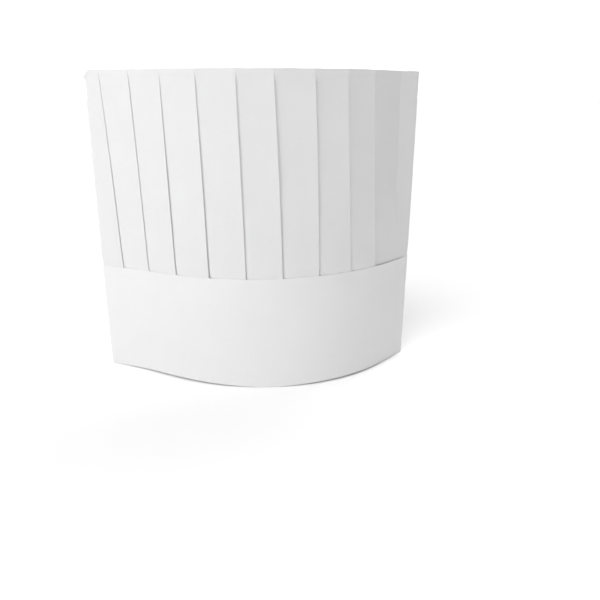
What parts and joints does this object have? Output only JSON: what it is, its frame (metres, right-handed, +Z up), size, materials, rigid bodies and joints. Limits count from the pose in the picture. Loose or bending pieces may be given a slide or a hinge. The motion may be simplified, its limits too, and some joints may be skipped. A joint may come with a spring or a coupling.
{
  "type": "paper chef hat",
  "caption": "Straight-sided paper chef hat, open at the top: a knife-pleated crown tucked into a plain glued headband, opened to a pointed oval and standing on its band.",
  "frame": {"origin": "on the floor under the middle of the hat, the bottom centre of its bounding box", "axes": "+X from the left crease to the right crease as seen from the front, +Y from front to back, +Z up from the headband to the rim"},
  "size_m": [0.2498, 0.119, 0.23],
  "materials": {
    "band_paper": "matte, smooth heavy paper",
    "crown_paper": "matte, thin creased paper"
  },
  "bodies": {
    "root": {"headband": "band_paper", "pleated_crown": "crown_paper"}
  },
  "joints": []
}
